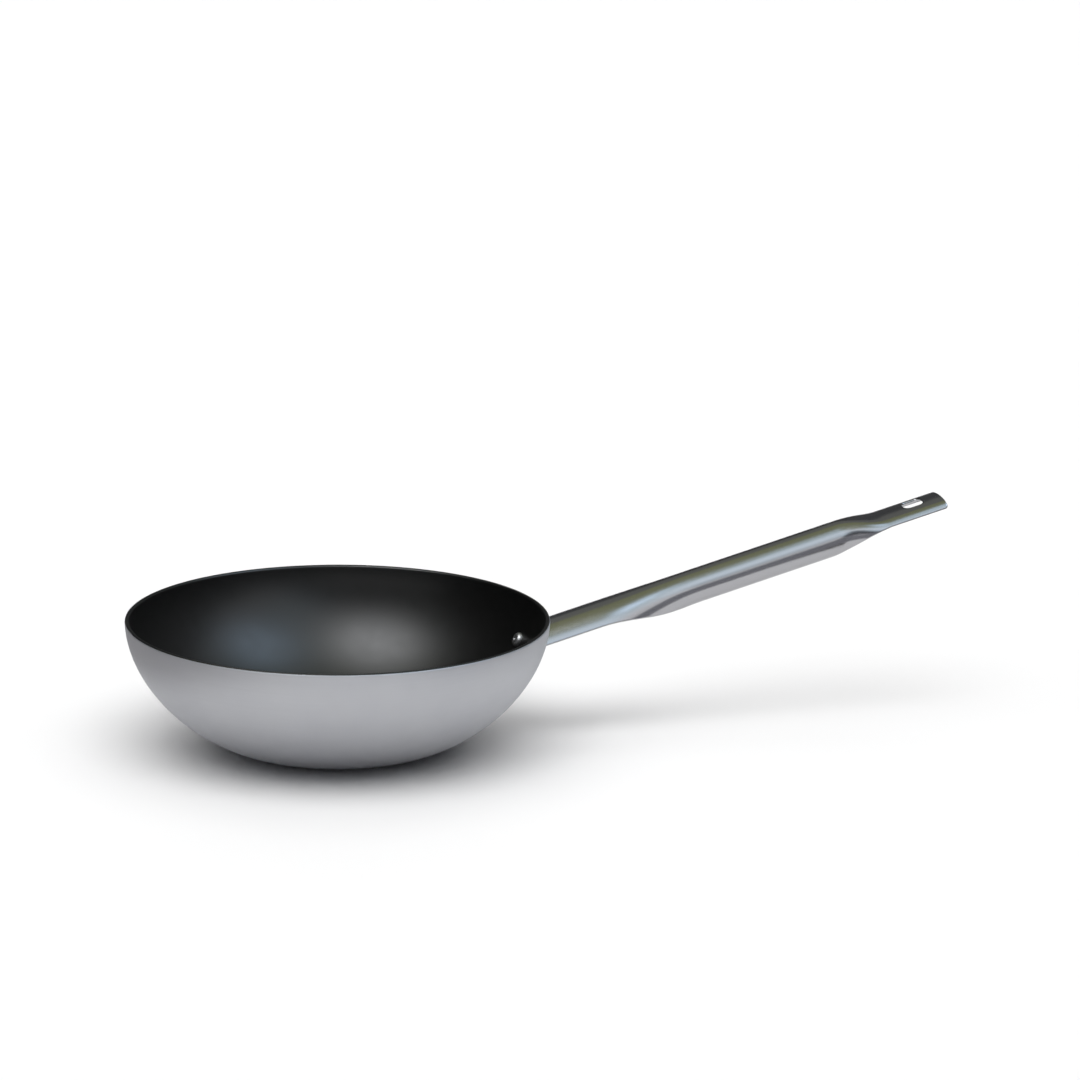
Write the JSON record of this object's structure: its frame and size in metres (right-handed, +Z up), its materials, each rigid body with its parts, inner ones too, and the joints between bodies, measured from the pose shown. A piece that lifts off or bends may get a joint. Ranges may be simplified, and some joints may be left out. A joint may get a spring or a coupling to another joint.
{
  "type": "wok",
  "caption": "Flat-based wok with a black non-stick inside, a bare satin aluminium outside and a long rolled sheet-steel handle with a hanging slot.",
  "frame": {"origin": "centre of the flat base, on the surface the wok stands on", "axes": "+Z up through the middle of the bowl, +X along the handle from the bowl towards its tail"},
  "size_m": [0.5635, 0.28, 0.139],
  "materials": {
    "satin_aluminium": "satin, turned",
    "black_nonstick": "satin black coating",
    "polished_steel": "polished stainless",
    "rivet_aluminium": "bright, pressed"
  },
  "bodies": {
    "root": {"bowl": "satin_aluminium", "nonstick_lining": "black_nonstick", "handle": "polished_steel", "rivet_near": "rivet_aluminium", "rivet_far": "rivet_aluminium"}
  },
  "joints": []
}
